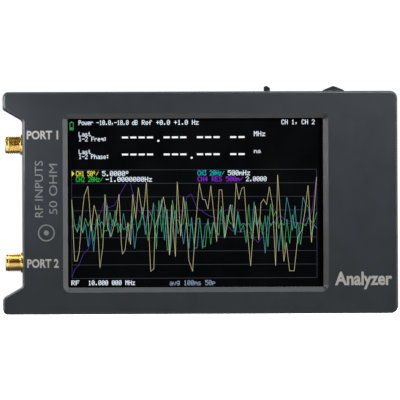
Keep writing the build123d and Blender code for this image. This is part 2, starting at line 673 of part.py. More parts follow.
def port_body(z):
    """The gold jack: threaded barrel, square flange and four legs that straddle the board's edge."""
    flange_x0 = LEFT_X + WALL + 0.1
    flange_x1 = BOARD_LEFT
    tip = PORT_TIP_X
    body = revolved(port_profile(), z)
    half = PORT_FLANGE / 2
    body += block(flange_x0, flange_x1, PORT_Y - half, PORT_Y + half, z - half, z + half)
    for leg_z in (z - half + 0.6, z + half - 0.6):
        body += block(flange_x1, flange_x1 + 4.4, PORT_Y - half, BOARD_FRONT_Y, leg_z - 0.6, leg_z + 0.6)
        body += block(flange_x1, flange_x1 + 4.4, BOARD_BACK_Y, BOARD_BACK_Y + 1.2, leg_z - 0.6, leg_z + 0.6)
    mouth_floor = tip + PORT_MOUTH_DEPTH
    body -= round_x(PORT_MOUTH_RADIUS, PORT_Y, z, tip - 1, mouth_floor)
    return body - round_x(INSULATOR_RADIUS, PORT_Y, z, tip - 1, flange_x1 + 1)


def port_insulator(z):
    """The white sleeve between the jack and its centre contact."""
    x0, x1 = PORT_TIP_X + PORT_MOUTH_DEPTH, BOARD_LEFT
    return round_x(INSULATOR_RADIUS, PORT_Y, z, x0, x1) - round_x(CONTACT_RADIUS, PORT_Y, z, x0 - 1, x1 + 1)


def port_contact(z):
    """The slotted female centre contact, with its tail on the board."""
    x0, x1 = PORT_TIP_X + PORT_MOUTH_DEPTH, BOARD_LEFT
    contact = round_x(CONTACT_RADIUS, PORT_Y, z, x0, x1)
    contact += round_x(TAIL_RADIUS, PORT_Y, z, x1 - 0.5, x1 + 3.0)
    contact -= round_x(CONTACT_BORE_RADIUS, PORT_Y, z, x0 - 1, x0 + 3.0)
    slit = 0.1
    contact -= block(x0 - 1, x0 + 1.8, PORT_Y - slit, PORT_Y + slit, z - 1, z + 1)
    return contact - block(x0 - 1, x0 + 1.8, PORT_Y - 1, PORT_Y + 1, z - slit, z + slit)


# ---------------------------------------------------------------- charging socket
USB_WIDTH, USB_THICKNESS = 8.94, 3.26
USB_SHEET = 0.3
USB_Y0 = BOARD_BACK_Y
USB_Y1 = USB_Y0 + USB_THICKNESS
USB_Y = (USB_Y0 + USB_Y1) / 2
USB_MOUTH_Z = TOP_Z - 0.4
USB_DEPTH = 7.35


def usb_shell():
    z0 = USB_MOUTH_Z - USB_DEPTH
    outside = Pos(USB_X, USB_Y) * RectangleRounded(USB_WIDTH, USB_THICKNESS, USB_THICKNESS / 2 - 0.02)
    inner_width, inner_height = USB_WIDTH - 2 * USB_SHEET, USB_THICKNESS - 2 * USB_SHEET
    inside = Pos(USB_X, USB_Y) * RectangleRounded(inner_width, inner_height, inner_height / 2 - 0.02)
    return column(outside, z0, USB_MOUTH_Z) - column(inside, z0 + USB_SHEET, USB_MOUTH_Z + 1)


def usb_tongue():
    """The insert: a block at the back of the shell that carries the contact tongue."""
    z0 = USB_MOUTH_Z - USB_DEPTH + USB_SHEET
    inner_width, inner_height = USB_WIDTH - 2 * USB_SHEET, USB_THICKNESS - 2 * USB_SHEET
    gap = 0.02
    corner = inner_height / 2 - 0.04
    base = Pos(USB_X, USB_Y) * RectangleRounded(inner_width - gap, inner_height - gap, corner)
    base = column(base, z0, z0 + 1.4)
    tongue = block(USB_X - 3.34, USB_X + 3.34, USB_Y - 0.35, USB_Y + 0.35, z0 + 1.0, USB_MOUTH_Z - 0.9)
    return base + tongue


def usb_contacts():
    """Twelve contacts on each side of the tongue."""
    z0, z1 = USB_MOUTH_Z - 5.2, USB_MOUTH_Z - 1.3
    pieces = []
    for i in range(12):
        x = USB_X + 0.5 * (i - 5.5)
        for face, side in ((USB_Y + 0.35, 1), (USB_Y - 0.35, -1)):
            y0, y1 = sorted((face, face + side * 0.05))
            pieces.append(block(x - 0.12, x + 0.12, y0, y1, z0, z1))
    return together(pieces)


# ---------------------------------------------------------------- memory card socket
CARD_SOCKET_WIDTH, CARD_SOCKET_DEPTH, CARD_SOCKET_THICKNESS = 14.0, 14.6, 1.9
CARD_SLOT_WIDTH = 12.4
CARD_SLOT_Y0 = BOARD_BACK_Y + 0.1
CARD_SLOT_Y1 = BOARD_BACK_Y + CARD_SOCKET_THICKNESS + 0.1
CARD_MOUTH_Y = (CARD_SLOT_Y0 + CARD_SLOT_Y1) / 2
CARD_SOCKET_TOP = INNER_TOP_Z - 0.3
CARD_SCOOP_RADIUS, CARD_SCOOP_DEPTH, CARD_SCOOP_LENGTH = 6.0, 0.9, 4.6
CARD_CAVITY_WIDTH = 11.3
CARD_SHEET = 0.2


def card_shell():
    """The folded steel cover of the socket."""
    half = CARD_SOCKET_WIDTH / 2
    z0, z1 = CARD_SOCKET_TOP - CARD_SOCKET_DEPTH, CARD_SOCKET_TOP
    y1 = BOARD_BACK_Y + CARD_SOCKET_THICKNESS
    cover = block(CARD_X - half, CARD_X + half, BOARD_BACK_Y, y1, z0, z1)
    inner = half - CARD_SHEET
    return cover - block(CARD_X - inner, CARD_X + inner, BOARD_BACK_Y - 1, y1 - CARD_SHEET, z0 - 1, z1 + 1)


def card_base():
    """The plastic base, with the cavity that the card slides into."""
    half = CARD_SOCKET_WIDTH / 2 - CARD_SHEET
    z0, z1 = CARD_SOCKET_TOP - CARD_SOCKET_DEPTH, CARD_SOCKET_TOP
    y1 = BOARD_BACK_Y + CARD_SOCKET_THICKNESS - CARD_SHEET
    base = block(CARD_X - half, CARD_X + half, BOARD_BACK_Y, y1, z0, z1)
    cavity = CARD_CAVITY_WIDTH / 2
    return base - block(CARD_X - cavity, CARD_X + cavity, BOARD_BACK_Y + 0.4, y1 + 1, z0 + 1.2, z1 + 1)


# ---------------------------------------------------------------- power slide switch
POWER_BODY_WIDTH, POWER_BODY_THICKNESS, POWER_BODY_DEPTH = 8.7, 3.5, 4.4
POWER_SHEET = 0.3
POWER_MIDDLE_X = POWER_X + POWER_TRAVEL / 2
POWER_Y = BOARD_BACK_Y + POWER_BODY_THICKNESS / 2
POWER_TOP_Z = BOARD_TOP - 0.2
POWER_BOTTOM_Z = POWER_TOP_Z - POWER_BODY_DEPTH
KNOB_WIDTH, KNOB_THICKNESS, KNOB_RISE = 2.1, 2.0, 1.95
POWER_SLOT_X = POWER_MIDDLE_X
POWER_SLOT_WIDTH = KNOB_WIDTH + POWER_TRAVEL + 0.7


def power_frame():
    """The folded steel can of the slide switch, open below, with the knob's slot on top."""
    half_x, half_y = POWER_BODY_WIDTH / 2, POWER_BODY_THICKNESS / 2
    x, y = POWER_MIDDLE_X, POWER_Y
    can = block(x - half_x, x + half_x, y - half_y, y + half_y, POWER_BOTTOM_Z, POWER_TOP_Z)
    inner_x, inner_y, roof = half_x - POWER_SHEET, half_y - POWER_SHEET, POWER_TOP_Z - POWER_SHEET
    can -= block(x - inner_x, x + inner_x, y - inner_y, y + inner_y, POWER_BOTTOM_Z - 1, roof)
    slot_x, slot_y = (KNOB_WIDTH + POWER_TRAVEL) / 2 + 0.2, KNOB_THICKNESS / 2 + 0.15
    return can - block(x - slot_x, x + slot_x, y - slot_y, y + slot_y, POWER_TOP_Z - 1, POWER_TOP_Z + 1)


def power_base():
    """The insulating base with three fixed contacts' feet on the board."""
    inner_x, inner_y = POWER_BODY_WIDTH / 2 - POWER_SHEET, POWER_BODY_THICKNESS / 2 - POWER_SHEET
    x, y = POWER_MIDDLE_X, POWER_Y
    return block(x - inner_x, x + inner_x, y - inner_y, y + inner_y, POWER_BOTTOM_Z, POWER_BOTTOM_Z + 1.3)


def power_terminals():
    places = [POWER_MIDDLE_X + at for at in (-2.5, 0.0, 2.5)]
    y0, z1 = BOARD_BACK_Y, POWER_BOTTOM_Z
    return together(block(x - 0.3, x + 0.3, y0, y0 + 0.25, z1 - 1.5, z1) for x in places)


def power_slider():
    """The sliding knob: a wide foot inside the can, and a stem that ends in a lopsided rounded grip."""
    foot_z0, foot_z1 = POWER_BOTTOM_Z + 2.0, POWER_TOP_Z - POWER_SHEET - 0.05
    foot = block(POWER_X - 2.3, POWER_X + 2.3, POWER_Y - 1.35, POWER_Y + 1.35, foot_z0, foot_z1)
    half, top = KNOB_WIDTH / 2, TOP_Z + KNOB_RISE
    grip = FilletPolyline(
        (POWER_X - half, foot_z1 - 0.5),
        (POWER_X + half, foot_z1 - 0.5),
        (POWER_X + half, top - 0.7),
        (POWER_X - 0.1, top + 0.08),
        (POWER_X - half, top - 0.25),
        radius=[0.05, 0.05, 0.3, 0.5, 0.35],
        close=True,
    )
    stem = slab(make_face(grip), POWER_Y - KNOB_THICKNESS / 2, POWER_Y + KNOB_THICKNESS / 2)
    knob = foot + stem
    return knob


def power_wiper():
    """The sprung contact that the slider drags over the fixed contacts."""
    z0, z1 = POWER_BOTTOM_Z + 1.35, POWER_BOTTOM_Z + 2.0
    bridge = block(POWER_X - 1.9, POWER_X + 1.9, POWER_Y - 0.8, POWER_Y + 0.8, z1 - 0.15, z1)
    for at in (-1.6, 1.6):
        bridge += block(POWER_X + at - 0.3, POWER_X + at + 0.3, POWER_Y - 0.8, POWER_Y + 0.8, z0, z1 - 0.1)
    return bridge


# ---------------------------------------------------------------- jog lever
JOG_BODY_WIDTH, JOG_BODY_THICKNESS, JOG_BODY_DEPTH = 9.0, 3.0, 6.4
JOG_Y = BOARD_BACK_Y + JOG_BODY_THICKNESS / 2
JOG_TOP_Z = BOARD_TOP - 0.2
JOG_BOTTOM_Z = JOG_TOP_Z - JOG_BODY_DEPTH
JOG_PIVOT_Z = TOP_Z - 6.0
JOG_PIN_RADIUS = 0.5
JOG_PIN_GAP = 0.03
JOG_HUB_RADIUS = 1.1
JOG_CAP_THICKNESS = 2.6
JOG_CAP_RISE = 1.98
JOG_SHOULDER_RISE = 0.5
JOG_CAP_HALF = 3.6
JOG_SKIRT_HALF = 4.2
JOG_SKIRT_DROP = 1.0
JOG_SLOT_HALF = 5.4
JOG_ARM_HALF = 1.1
JOG_ARM_THICKNESS = 0.9
JOG_ARM_TOP_Z = TOP_Z + 0.75
PLUNGER_HALF, PLUNGER_Z0, PLUNGER_Z1 = 2.6, JOG_BOTTOM_Z + 1.25, JOG_TOP_Z - 1.3


def jog_body():
    """The lever switch's housing: an open-backed tray with a channel that guides the plunger."""
    half = JOG_BODY_WIDTH / 2
    back = BOARD_BACK_Y + JOG_BODY_THICKNESS
    body = block(JOG_X - half, JOG_X + half, BOARD_BACK_Y, back - 0.2, JOG_BOTTOM_Z, JOG_TOP_Z)
    channel, y0, z0 = PLUNGER_HALF + 0.06, BOARD_BACK_Y + 0.4, JOG_BOTTOM_Z + 0.4
    body -= block(JOG_X - channel, JOG_X + channel, y0, back, z0, PLUNGER_Z1 + 0.1)
    mouth = JOG_ARM_HALF + 1.1
    return body - block(JOG_X - mouth, JOG_X + mouth, y0, back, PLUNGER_Z1, JOG_TOP_Z + 1)


def jog_plate():
    """The steel plate that closes the housing's back."""
    half = JOG_BODY_WIDTH / 2
    back = BOARD_BACK_Y + JOG_BODY_THICKNESS
    return block(JOG_X - half, JOG_X + half, back - 0.2, back, JOG_BOTTOM_Z, JOG_TOP_Z)


def jog_dome():
    """The snap dome under the plunger: a shallow arch, drawn as a bent strip."""
    z0 = JOG_BOTTOM_Z + 0.4
    rise, half, sheet = PLUNGER_Z0 - z0 - 0.02, 1.9, 0.1
    outer = ThreePointArc((JOG_X - half, z0), (JOG_X, z0 + rise), (JOG_X + half, z0))
    inner = ThreePointArc((JOG_X + half - sheet, z0), (JOG_X, z0 + rise - sheet), (JOG_X - half + sheet, z0))
    ends = [Line(outer @ 1, inner @ 0), Line(inner @ 1, outer @ 0)]
    return slab(make_face([outer, ends[0], inner, ends[1]]), JOG_Y - 0.8, JOG_Y + 0.5)


def jog_plunger():
    """The carriage that is pressed into the housing, with the pin that the lever turns on."""
    y0, y1 = BOARD_BACK_Y + 0.45, BOARD_BACK_Y + JOG_BODY_THICKNESS - 0.25
    carriage = block(JOG_X - PLUNGER_HALF, JOG_X + PLUNGER_HALF, y0, y1, PLUNGER_Z0, PLUNGER_Z1)
    pocket = JOG_ARM_THICKNESS / 2 + 0.05
    room = JOG_HUB_RADIUS + 0.1
    reach = JOG_HUB_RADIUS + 0.75
    carriage -= round_y(room, JOG_X, JOG_PIVOT_Z, JOG_Y - pocket, JOG_Y + pocket)
    y2, y3 = JOG_Y - pocket, JOG_Y + pocket
    carriage -= block(JOG_X - reach, JOG_X + reach, y2, y3, JOG_PIVOT_Z, PLUNGER_Z1 + 1)
    return carriage + round_y(JOG_PIN_RADIUS, JOG_X, JOG_PIVOT_Z, y0, y1)


def jog_lever():
    """The metal arm that tilts left and right."""
    y0, y1 = JOG_Y - JOG_ARM_THICKNESS / 2, JOG_Y + JOG_ARM_THICKNESS / 2
    arm = round_y(JOG_HUB_RADIUS, JOG_X, JOG_PIVOT_Z, y0, y1)
    arm += block(JOG_X - JOG_ARM_HALF, JOG_X + JOG_ARM_HALF, y0, y1, JOG_PIVOT_Z, JOG_ARM_TOP_Z)
    return arm - round_y(JOG_PIN_RADIUS + JOG_PIN_GAP, JOG_X, JOG_PIVOT_Z, y0 - 1, y1 + 1)


def jog_cap():
    """The roof-shaped plastic cap that is pushed on the arm."""
    top, shoulder, low = TOP_Z + JOG_CAP_RISE, TOP_Z + JOG_SHOULDER_RISE, TOP_Z - JOG_SKIRT_DROP
    outline = FilletPolyline(
        (JOG_X - JOG_SKIRT_HALF, low),
        (JOG_X + JOG_SKIRT_HALF, low),
        (JOG_X + JOG_CAP_HALF, shoulder),
        (JOG_X, top),
        (JOG_X - JOG_CAP_HALF, shoulder),
        radius=[0.2, 0.2, 0.5, 1.6, 0.5],
        close=True,
    )
    half = JOG_CAP_THICKNESS / 2
    cap = slab(make_face(outline), JOG_Y - half, JOG_Y + half)
    cap = fillet([e for y in (0, -1) for e in cap.faces().sort_by(Axis.Y)[y].edges()], 0.15)
    fit = 0.02
    arm_x, arm_y = JOG_ARM_HALF + fit, JOG_ARM_THICKNESS / 2 + fit
    socket_top = JOG_ARM_TOP_Z + fit
    return cap - block(JOG_X - arm_x, JOG_X + arm_x, JOG_Y - arm_y, JOG_Y + arm_y, low - 1, socket_top)


# ---------------------------------------------------------------- everything, by node name
def make_nodes():
    nodes = {
        "front_cover": front_cover(),
        "rear_cover": rear_cover(),
        "case_screws": case_screws(),
        "board_screws": board_screws(),
        "window_gasket": window_gasket(),
        "touch_panel": touch_panel(),
        "lcd_glass": lcd_glass(),
        "lcd_driver_chip": lcd_driver_chip(),
        "backlight_guide": backlight_guide(),
        "backlight_sheet": backlight_sheet(),
        "backlight_tray": backlight_tray(),
        "display_foam": display_foam(),
        "lcd_flex": lcd_flex(),
        "touch_flex": touch_flex(),
        "lcd_flex_socket": flex_socket(LCD_FLEX_Z, LCD_FLEX_WIDTH),
        "touch_flex_socket": flex_socket(TOUCH_FLEX_Z, TOUCH_FLEX_WIDTH),
        "main_board": main_board(),
        "processor_chip": chip(MCU_X, MCU_Z, 7.0, 1.4, 12),
        "codec_chip": chip(CODEC_X, CODEC_Z, 5.0, 0.9, 8),
        "synthesizer_chip": chip(SYNTH_X, SYNTH_Z, 3.0, 1.0, 5),
        "charger_chip": chip(CHARGER_X, CHARGER_Z, 4.0, 1.2, 4),
        "mixer_chips": mixer_chips(),
        "crystals": crystals(),
        "power_inductor": power_inductor(),
        "small_components": passives(),
        "status_leds": status_leds(),
        "shield_frames": shield_frames(),
        "shield_lids": shield_lids(),
        "battery_cell": battery_cell(),
        "battery_guard_board": battery_guard(),
        "battery_tape": battery_tape(),
        "battery_pad": battery_pad(),
        "battery_lead_red": battery_lead("red"),
        "battery_lead_black": battery_lead("black"),
        "battery_plug": battery_plug(),
        "battery_socket": battery_socket(),
        "usb_shell": usb_shell(),
        "usb_tongue": usb_tongue(),
        "usb_contacts": usb_contacts(),
        "card_socket_cover": card_shell(),
        "card_socket_base": card_base(),
        "power_switch_frame": power_frame(),
        "power_switch_base": power_base(),
        "power_switch_terminals": power_terminals(),
        "power_switch_slider": power_slider(),
        "power_switch_wiper": power_wiper(),
        "jog_switch_body": jog_body(),
        "jog_switch_plate": jog_plate(),
        "jog_dome": jog_dome(),
        "jog_plunger": jog_plunger(),
        "jog_lever": jog_lever(),
        "jog_cap": jog_cap(),
    }
    for name, z in PORT_HEIGHTS.items():
        nodes[f"port_{name}_jack"] = port_body(z)
        nodes[f"port_{name}_insulator"] = port_insulator(z)
        nodes[f"port_{name}_contact"] = port_contact(z)
    return nodes


os.makedirs("parts", exist_ok=True)
for node_name, shape in make_nodes().items():
    export_step(shape, f"parts/{node_name}.step")
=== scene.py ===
"""Looks of a pocket two-port network analyser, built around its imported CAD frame.

The CAD pieces stay where the frame puts them and get a finish each. The printed ink and the
display's picture are thin plates laid on the faces that the frame's boxes give. Their sizes are in
millimetres, and MM turns them into the frame's metres. The camera and the studio are in metres. The
display faces -Y, the ports face -X, the controls are on top (+Z) and the instrument stands on its
long bottom edge.
"""

import json
import math
import random

import bmesh
import bpy
from mathutils import Matrix, Vector


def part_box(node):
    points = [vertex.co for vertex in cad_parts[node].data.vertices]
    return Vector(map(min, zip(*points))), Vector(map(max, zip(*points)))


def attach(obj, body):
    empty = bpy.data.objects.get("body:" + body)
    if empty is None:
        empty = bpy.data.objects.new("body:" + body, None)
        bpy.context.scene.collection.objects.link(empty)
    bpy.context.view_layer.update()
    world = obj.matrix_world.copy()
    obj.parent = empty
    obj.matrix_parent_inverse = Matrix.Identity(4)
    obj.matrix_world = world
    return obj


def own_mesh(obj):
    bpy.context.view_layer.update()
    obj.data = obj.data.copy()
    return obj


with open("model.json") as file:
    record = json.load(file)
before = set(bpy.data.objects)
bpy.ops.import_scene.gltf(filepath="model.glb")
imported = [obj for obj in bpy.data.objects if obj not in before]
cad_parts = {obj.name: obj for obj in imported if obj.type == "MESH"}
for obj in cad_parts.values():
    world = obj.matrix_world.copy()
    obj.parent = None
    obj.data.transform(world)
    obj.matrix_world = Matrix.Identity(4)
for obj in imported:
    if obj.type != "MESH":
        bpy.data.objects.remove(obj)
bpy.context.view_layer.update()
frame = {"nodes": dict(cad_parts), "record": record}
NODES = frame["nodes"]
MM = 0.001


def low(node):
    """A node's lowest corner, in millimetres."""
    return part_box(node)[0] / MM


def high(node):
    """A node's highest corner, in millimetres."""
    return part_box(node)[1] / MM


# ---------------------------------------------------------------------------------------------
# Where things are, in millimetres
# ---------------------------------------------------------------------------------------------
FACE_Y = low("front_cover").y  # the case's front face
GLASS_FACE_Y = low("touch_panel").y  # the display's outer face
PORT_A_Z = (low("port_a_jack").z + high("port_a_jack").z) / 2
PORT_B_Z = (low("port_b_jack").z + high("port_b_jack").z) / 2
PRINT_THICK = 0.02  # ink on the case
PICTURE_THICK = 0.01  # the lit layers of the display's picture

# ---------------------------------------------------------------------------------------------
# Camera: a long lens far away, almost square to the display, a little towards the ports and low
# ---------------------------------------------------------------------------------------------
CAMERA_AWAY = 3.6  # metres from the front face
CAMERA_TURN = -2.1  # degrees round the instrument, towards its ports
CAMERA_HEIGHT = 0.006  # metres above what the instrument stands on
CAMERA_ROLL = -0.25  # degrees
AIM = Vector((-0.00030, FACE_Y * MM, 0.0391))  # the picture's middle on the front face
FRAME_WIDTH = 0.1373  # metres of the front face across the picture
SENSOR = 36.0  # the camera's sensor width, which only sets the lens's number

turn = math.radians(CAMERA_TURN)
eye = AIM + CAMERA_AWAY * Vector((math.sin(turn), -math.cos(turn), 0.0))
eye.z = CAMERA_HEIGHT
lens_data = bpy.data.cameras.new("camera")
lens_data.sensor_width = SENSOR
lens_data.lens = SENSOR * (AIM - eye).length / FRAME_WIDTH
lens_data.clip_start, lens_data.clip_end = 0.05, 50.0
camera = bpy.data.objects.new("camera", lens_data)
bpy.context.scene.collection.objects.link(camera)
camera.rotation_mode = "QUATERNION"
camera.location = eye
camera.rotation_quaternion = (AIM - eye).to_track_quat("-Z", "Y") @ Matrix.Rotation(
    math.radians(CAMERA_ROLL), 4, "Z"
).to_quaternion()
bpy.context.scene.camera = camera


# ---------------------------------------------------------------------------------------------
# Materials
# ---------------------------------------------------------------------------------------------
NOISE_LOW, NOISE_HIGH = 0.3, 0.7  # what nearly all of a noise lies between


def node_material(name):
    """A new node material, its tree and its shader."""
    material = bpy.data.materials.new(name)
    material.use_nodes = True
    tree = material.node_tree
    return material, tree, tree.nodes["Principled BSDF"]


def noise(tree, coordinates, size_mm, detail=3.0, roughness=0.55):
    """A noise texture whose patches are about size_mm across."""
    texture = tree.nodes.new("ShaderNodeTexNoise")
    texture.inputs["Scale"].default_value = 1.0 / (size_mm * MM)
    texture.inputs["Detail"].default_value = detail
    texture.inputs["Roughness"].default_value = roughness
    tree.links.new(coordinates, texture.inputs["Vector"])
    return texture.outputs["Fac"]


def spread(tree, value, low_value, high_value):
    """Maps the middle of a noise's range onto low_value to high_value."""
    ranger = tree.nodes.new("ShaderNodeMapRange")
    ranger.inputs["From Min"].default_value = NOISE_LOW
    ranger.inputs["From Max"].default_value = NOISE_HIGH
    ranger.inputs["To Min"].default_value = low_value
    ranger.inputs["To Max"].default_value = high_value
    tree.links.new(value, ranger.inputs["Value"])
    return ranger.outputs["Result"]


def finish(name, dark, light, rough, metallic=0.0, grain=0.4, relief=0.004, cloud=6.0,
           stretch=(1.0, 1.0, 1.0), coat=0.0, sheen=0.0):
    """A surface with cloudy colour between dark and light, cloudy roughness and a fine relief.

    grain, relief and cloud are in millimetres: the fine pattern's size, its height and the size of
    the colour patches. rough holds the lowest and the highest roughness. stretch squeezes the
    pattern along an axis, for brushed or turned metal.
    """
    material, tree, shader = node_material(name)
    place = tree.nodes.new("ShaderNodeTexCoord").outputs["Object"]
    mapping = tree.nodes.new("ShaderNodeMapping")
    mapping.inputs["Scale"].default_value = stretch
    tree.links.new(place, mapping.inputs["Vector"])
    pattern = mapping.outputs["Vector"]

    blend = tree.nodes.new("ShaderNodeMix")
    blend.data_type = "RGBA"
    blend.inputs["A"].default_value = (*dark, 1.0)
    blend.inputs["B"].default_value = (*light, 1.0)
    tree.links.new(spread(tree, noise(tree, pattern, cloud), 0.0, 1.0), blend.inputs["Factor"])
    tree.links.new(blend.outputs["Result"], shader.inputs["Base Color"])

    fine = noise(tree, pattern, grain, detail=2.0)
    tree.links.new(spread(tree, noise(tree, pattern, cloud / 3), *rough), shader.inputs["Roughness"])
    bump = tree.nodes.new("ShaderNodeBump")
    bump.inputs["Strength"].default_value = 1.0
    bump.inputs["Distance"].default_value = relief * MM
    tree.links.new(fine, bump.inputs["Height"])
    tree.links.new(bump.outputs["Normal"], shader.inputs["Normal"])

    shader.inputs["Metallic"].default_value = metallic
    shader.inputs["Coat Weight"].default_value = coat
    shader.inputs["Sheen Weight"].default_value = sheen
    return material


def grey(level, blue=1.0):
    """A neutral colour, cooler where blue is above 1."""
    return (level, level * (1 + (blue - 1) / 2), level * blue)


FINISHES = {
    "case_plastic": finish("case_plastic", grey(0.0255, 1.36), grey(0.0305, 1.36), (0.36, 0.44),
                           grain=0.22, relief=0.006, cloud=9.0),
    "control_black": finish("control_black", grey(0.016, 1.2), grey(0.021, 1.2), (0.30, 0.40),
                            grain=0.18, relief=0.004, cloud=3.0),
    "gold": finish("gold", (0.98, 0.70, 0.24), (1.0, 0.78, 0.32), (0.18, 0.26), metallic=1.0,
                   grain=0.9, relief=0.0015, cloud=1.6, stretch=(9.0, 1.0, 1.0)),
    "screw_black": finish("screw_black", grey(0.030), grey(0.050), (0.32, 0.46), metallic=0.85,
                          grain=0.25, relief=0.003, cloud=1.2),
    "steel": finish("steel", (0.52, 0.52, 0.51), (0.66, 0.66, 0.64), (0.24, 0.38), metallic=1.0,
                    grain=0.5, relief=0.0015, cloud=2.5, stretch=(1.0, 6.0, 6.0)),
    "foam_black": finish("foam_black", grey(0.008), grey(0.016), (0.85, 0.97), grain=0.25,
                         relief=0.06, cloud=1.5, sheen=0.1),
    "cover_glass": finish("cover_glass", (0.0010, 0.0010, 0.0014), (0.0016, 0.0016, 0.0022),
                          (0.02, 0.035), grain=6.0, relief=0.0002, cloud=24.0),
    "lcd_black": finish("lcd_black", (0.004, 0.004, 0.006), (0.006, 0.006, 0.008), (0.12, 0.2),
                        grain=2.0, relief=0.0005, cloud=12.0),
    "silicon": finish("silicon", (0.05, 0.05, 0.06), (0.08, 0.08, 0.10), (0.12, 0.2),
                      metallic=0.6, grain=0.3, relief=0.0005, cloud=2.0),
    "light_guide": finish("light_guide", (0.80, 0.83, 0.84), (0.88, 0.90, 0.90), (0.10, 0.2),
                          grain=0.6, relief=0.003, cloud=8.0),
    "white_film": finish("white_film", (0.80, 0.80, 0.79), (0.88, 0.88, 0.87), (0.45, 0.6),
                         grain=0.5, relief=0.003, cloud=8.0),
    "flex_amber": finish("flex_amber", (0.42, 0.17, 0.03), (0.56, 0.25, 0.05), (0.28, 0.4),
                         grain=0.6, relief=0.004, cloud=3.0),
    "connector_cream": finish("connector_cream", (0.66, 0.60, 0.47), (0.74, 0.68, 0.55),
                              (0.4, 0.55), grain=0.3, relief=0.004, cloud=2.0),
    "board_black": finish("board_black", (0.008, 0.010, 0.010), (0.014, 0.017, 0.016),
                          (0.28, 0.4), grain=0.35, relief=0.006, cloud=2.5, coat=0.2),
    "epoxy_black": finish("epoxy_black", grey(0.013), grey(0.020), (0.5, 0.65), grain=0.12,
                          relief=0.004, cloud=1.5),
    "ferrite": finish("ferrite", grey(0.040), grey(0.075), (0.6, 0.8), grain=0.3, relief=0.02,
                      cloud=1.0),
    "ceramic_tan": finish("ceramic_tan", (0.38, 0.26, 0.15), (0.50, 0.36, 0.22), (0.35, 0.5),
                          grain=0.2, relief=0.003, cloud=0.8),
    "led_clear": finish("led_clear", (0.72, 0.74, 0.62), (0.84, 0.86, 0.74), (0.08, 0.16),
                        grain=0.3, relief=0.002, cloud=0.8, coat=0.3),
    "pouch_silver": finish("pouch_silver", (0.55, 0.56, 0.57), (0.70, 0.71, 0.72), (0.22, 0.38),
                           metallic=0.9, grain=1.6, relief=0.03, cloud=7.0),
    "tape_yellow": finish("tape_yellow", (0.72, 0.46, 0.06), (0.82, 0.56, 0.10), (0.28, 0.42),
                          grain=0.7, relief=0.01, cloud=4.0),
    "wire_red": finish("wire_red", (0.48, 0.02, 0.015), (0.60, 0.035, 0.02), (0.38, 0.5),
                       grain=0.4, relief=0.006, cloud=2.0),
    "wire_black": finish("wire_black", grey(0.012), grey(0.022), (0.38, 0.5), grain=0.4,
                         relief=0.006, cloud=2.0),
    "nylon_white": finish("nylon_white", (0.74, 0.73, 0.69), (0.82, 0.81, 0.77), (0.4, 0.52),
                          grain=0.25, relief=0.004, cloud=2.0),
    "ptfe": finish("ptfe", (0.78, 0.78, 0.76), (0.88, 0.88, 0.86), (0.42, 0.55), grain=0.2,
                   relief=0.003, cloud=1.0, stretch=(4.0, 1.0, 1.0)),
    "phenolic": finish("phenolic", (0.20, 0.09, 0.04), (0.28, 0.13, 0.06), (0.45, 0.6),
                       grain=0.3, relief=0.006, cloud=1.2),
}

for part in frame["record"]["subparts"]:
    mesh = NODES[part["node"]].data
    mesh.materials.clear()
    mesh.materials.append(FINISHES[part["material_slot"]])


# ---------------------------------------------------------------------------------------------
# Thin shapes laid on a face that looks along -Y: printed ink and the display's picture
# ---------------------------------------------------------------------------------------------
# The display's letters: five columns, each a pair of hexadecimal digits, with the lowest bit on top
PIXEL_LETTERS = {
    " ": "0000000000", "+": "08083E0808", ",": "0050300000", "-": "0808080808", ".": "0060600000",
    "/": "2010080402", "0": "3E5149453E", "1": "00427F4000", "2": "4261514946", "3": "2141454B31",
    "4": "1814127F10", "5": "2745454539", ":": "0036360000", "B": "7F49494936", "C": "3E41414122",
    "E": "7F49494941", "F": "7F09090901", "H": "7F0808087F", "L": "7F40404040", "M": "7F020C027F",
    "P": "7F09090906", "R": "7F09192946", "S": "4649494931", "a": "2054545478", "d": "384444487F",
    "e": "3854545418", "f": "087E090102", "g": "0C5252523E", "h": "7F08040478", "m": "7C04180478",
    "n": "7C08040478", "o": "3844444438", "p": "7C14141408", "q": "081414187C", "r": "7C08040408",
    "s": "4854545420", "t": "043F444020", "v": "1C2040201C", "w": "3C4030403C", "z": "4464544C44",
    "°": "0609090600",
}


LINE_OVER = 0.6  # how far each run of a line passes its end, in half widths
LETTER_ROWS, LETTER_COLUMNS = 7, 5
PIXEL_OVERLAP = 0.02  # how far a pixel letter's column passes its edges
MERGE_DISTANCE = 1e-4


